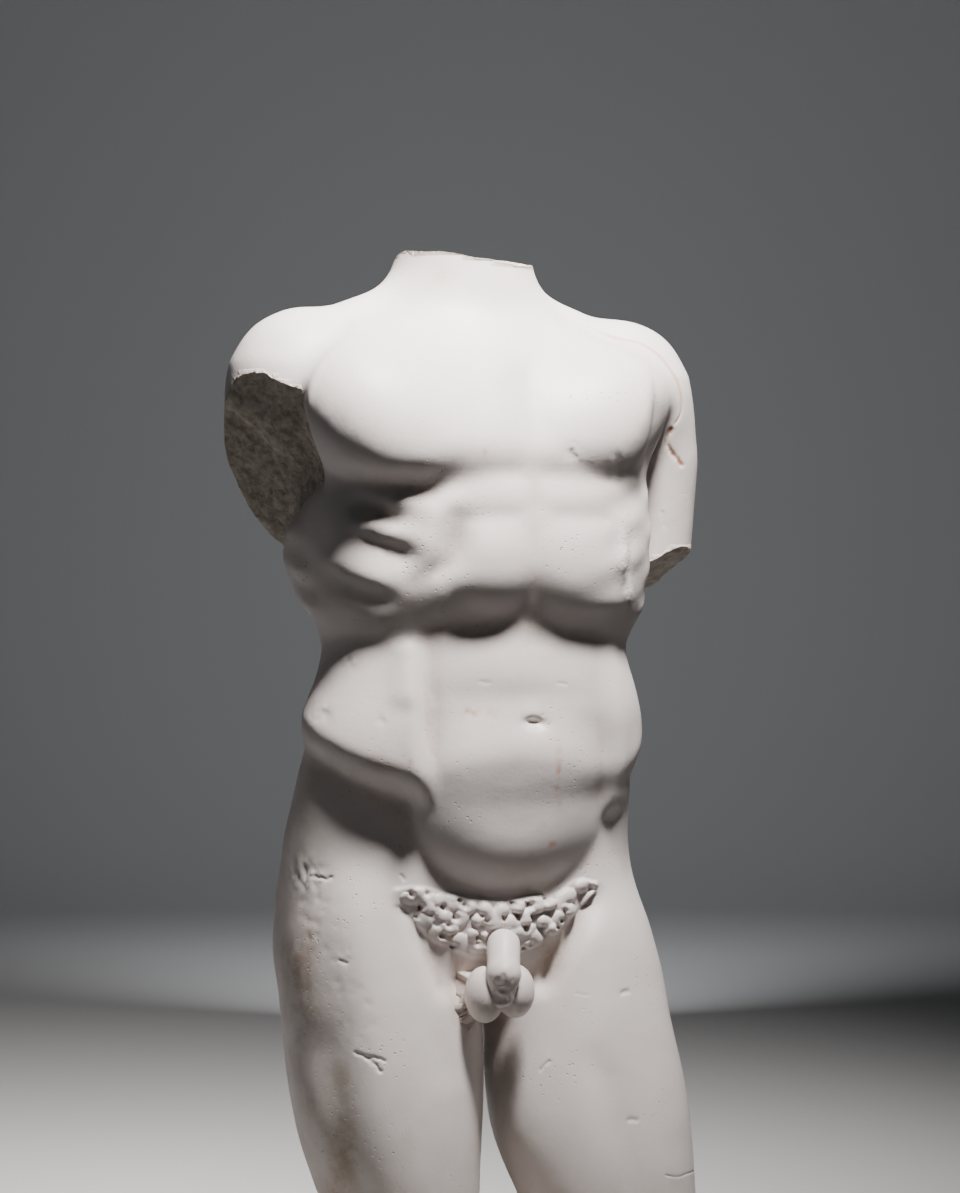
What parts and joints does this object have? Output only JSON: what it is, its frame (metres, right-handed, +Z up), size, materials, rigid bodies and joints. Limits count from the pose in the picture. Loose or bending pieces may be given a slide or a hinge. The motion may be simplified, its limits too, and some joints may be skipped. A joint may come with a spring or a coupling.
{
  "type": "marble torso sculpture",
  "caption": "Headless marble torso of a standing nude youth with broken upper arms and thighs cut off above the knees, resting on a low stone plinth.",
  "frame": {"origin": "middle of the plinth's underside", "axes": "+Z up, the figure faces -Y, +X towards the figure's left side"},
  "size_m": [0.5, 0.34, 1.0407],
  "materials": {
    "marble": "worn satin with brown patina in the hollows",
    "plinth_stone": "fine-sawn matt"
  },
  "bodies": {
    "root": {"torso": "marble", "plinth": "plinth_stone"}
  },
  "joints": []
}
